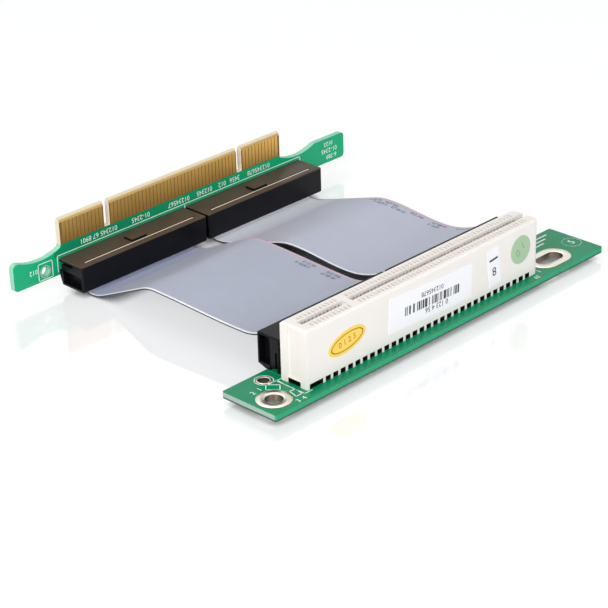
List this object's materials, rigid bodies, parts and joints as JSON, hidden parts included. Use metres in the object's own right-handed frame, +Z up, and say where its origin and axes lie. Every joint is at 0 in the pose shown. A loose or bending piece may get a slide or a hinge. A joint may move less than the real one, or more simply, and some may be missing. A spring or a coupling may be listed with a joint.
{
  "type": "pci riser card",
  "caption": "Flexible riser card: a green board with a white card slot, joined by flat ribbon cables to a thin edge board with gold fingers.",
  "frame": {"origin": "middle of the card's outline in plan, on the surface that its solder joints and cable bends rest on", "axes": "+X along both boards, to the right when the slot's front is seen; +Y from the slot board to the edge board; +Z up, the way a card leaves the slot"},
  "size_m": [0.122, 0.0966, 0.0198],
  "materials": {
    "green_board": "glossy green solder resist over glass-filled laminate",
    "tinned_copper": "tinned copper pad",
    "white_plastic": "satin warm white moulded plastic",
    "gold_contact": "gold plate",
    "solder": "bright solder",
    "black_plastic": "glossy black moulded plastic",
    "grey_ribbon": "grey vinyl insulation with lengthwise ridges",
    "yellow_sticker": "yellow paper sticker",
    "white_label": "white paper label",
    "green_sticker": "pale green paper sticker"
  },
  "bodies": {
    "root": {"riser_board": "green_board", "plated_holes": "tinned_copper", "slot_housing": "white_plastic", "slot_contacts_front": "gold_contact", "slot_contacts_back": "gold_contact", "slot_joints": "solder", "riser_base_left": "black_plastic", "riser_base_right": "black_plastic", "riser_cover_left": "black_plastic", "riser_cover_right": "black_plastic", "riser_joints_left": "solder", "riser_joints_right": "solder", "ribbon_left": "grey_ribbon", "ribbon_right": "grey_ribbon", "host_board": "green_board", "host_fingers_front": "gold_contact", "host_fingers_back": "gold_contact", "host_base_left": "black_plastic", "host_base_right": "black_plastic", "host_cover_left": "black_plastic", "host_cover_right": "black_plastic", "host_joints_left": "solder", "host_joints_right": "solder", "oval_sticker": "yellow_sticker", "wide_label": "white_label", "narrow_label": "white_label", "round_sticker": "green_sticker"}
  },
  "joints": []
}
